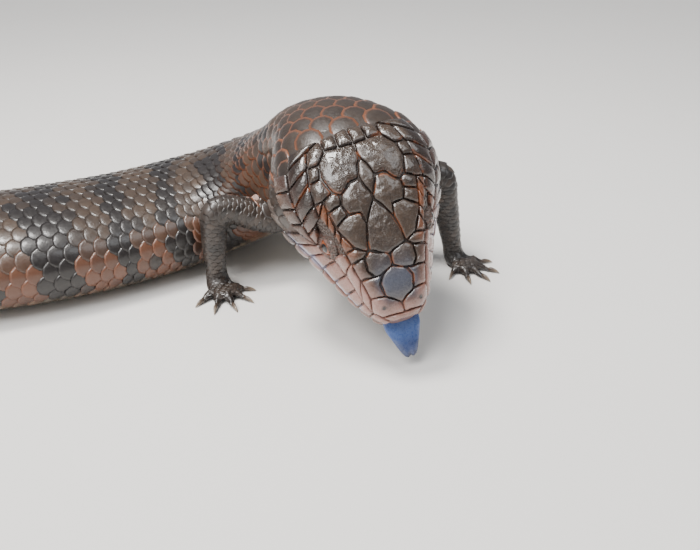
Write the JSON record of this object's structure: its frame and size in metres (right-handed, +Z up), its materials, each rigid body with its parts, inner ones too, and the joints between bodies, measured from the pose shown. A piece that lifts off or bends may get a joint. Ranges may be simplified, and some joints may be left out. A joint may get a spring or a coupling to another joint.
{
  "type": "blue-tongued skink figure",
  "caption": "Life-size still figure of a blue-tongued skink, head turned down with its blue tongue out, body curved.",
  "frame": {"origin": "middle of the whole animal's box, on the floor that it rests on", "axes": "+Z up; +X along the length of the trunk, from hips to shoulders; the head faces -Y and a little +X, down towards the viewer"},
  "size_m": [0.3736, 0.2678, 0.0766],
  "materials": {
    "head_shields": "glossy dark brown horn shields with dark and rusty seams",
    "jaw_shields": "pinkish pale lip and chin shields, satin",
    "body_scales": "smooth overlapping scales, dark brown with rust margins and bands",
    "limb_scales": "small smooth scales, dark grey-brown",
    "claw_horn": "horn, dark at the root and paler at the tip",
    "iris": "wet orange-red iris round a black pupil",
    "tongue_blue": "moist blue, darker at the tip"
  },
  "bodies": {
    "root": {"arm_lower_left": "limb_scales", "arm_lower_right": "limb_scales", "arm_upper_left": "limb_scales", "arm_upper_right": "limb_scales", "claw_foot_left_1": "claw_horn", "claw_foot_left_2": "claw_horn", "claw_foot_left_3": "claw_horn", "claw_foot_left_4": "claw_horn", "claw_foot_left_5": "claw_horn", "claw_foot_right_1": "claw_horn", "claw_foot_right_2": "claw_horn", "claw_foot_right_3": "claw_horn", "claw_foot_right_4": "claw_horn", "claw_foot_right_5": "claw_horn", "claw_hand_left_1": "claw_horn", "claw_hand_left_2": "claw_horn", "claw_hand_left_3": "claw_horn", "claw_hand_left_4": "claw_horn", "claw_hand_left_5": "claw_horn", "claw_hand_right_1": "claw_horn", "claw_hand_right_2": "claw_horn", "claw_hand_right_3": "claw_horn", "claw_hand_right_4": "claw_horn", "claw_hand_right_5": "claw_horn", "eye_left": "iris", "eye_right": "iris", "foot_left": "limb_scales", "foot_right": "limb_scales", "hand_left": "limb_scales", "hand_right": "limb_scales", "head": "head_shields", "leg_lower_left": "limb_scales", "leg_lower_right": "limb_scales", "leg_upper_left": "limb_scales", "leg_upper_right": "limb_scales", "lower_jaw": "jaw_shields", "neck": "body_scales", "tail_base": "body_scales", "tail_middle": "body_scales", "tail_rear": "body_scales", "tail_tip": "body_scales", "tongue": "tongue_blue", "trunk_front": "body_scales", "trunk_middle": "body_scales", "trunk_rear": "body_scales"}
  },
  "joints": []
}
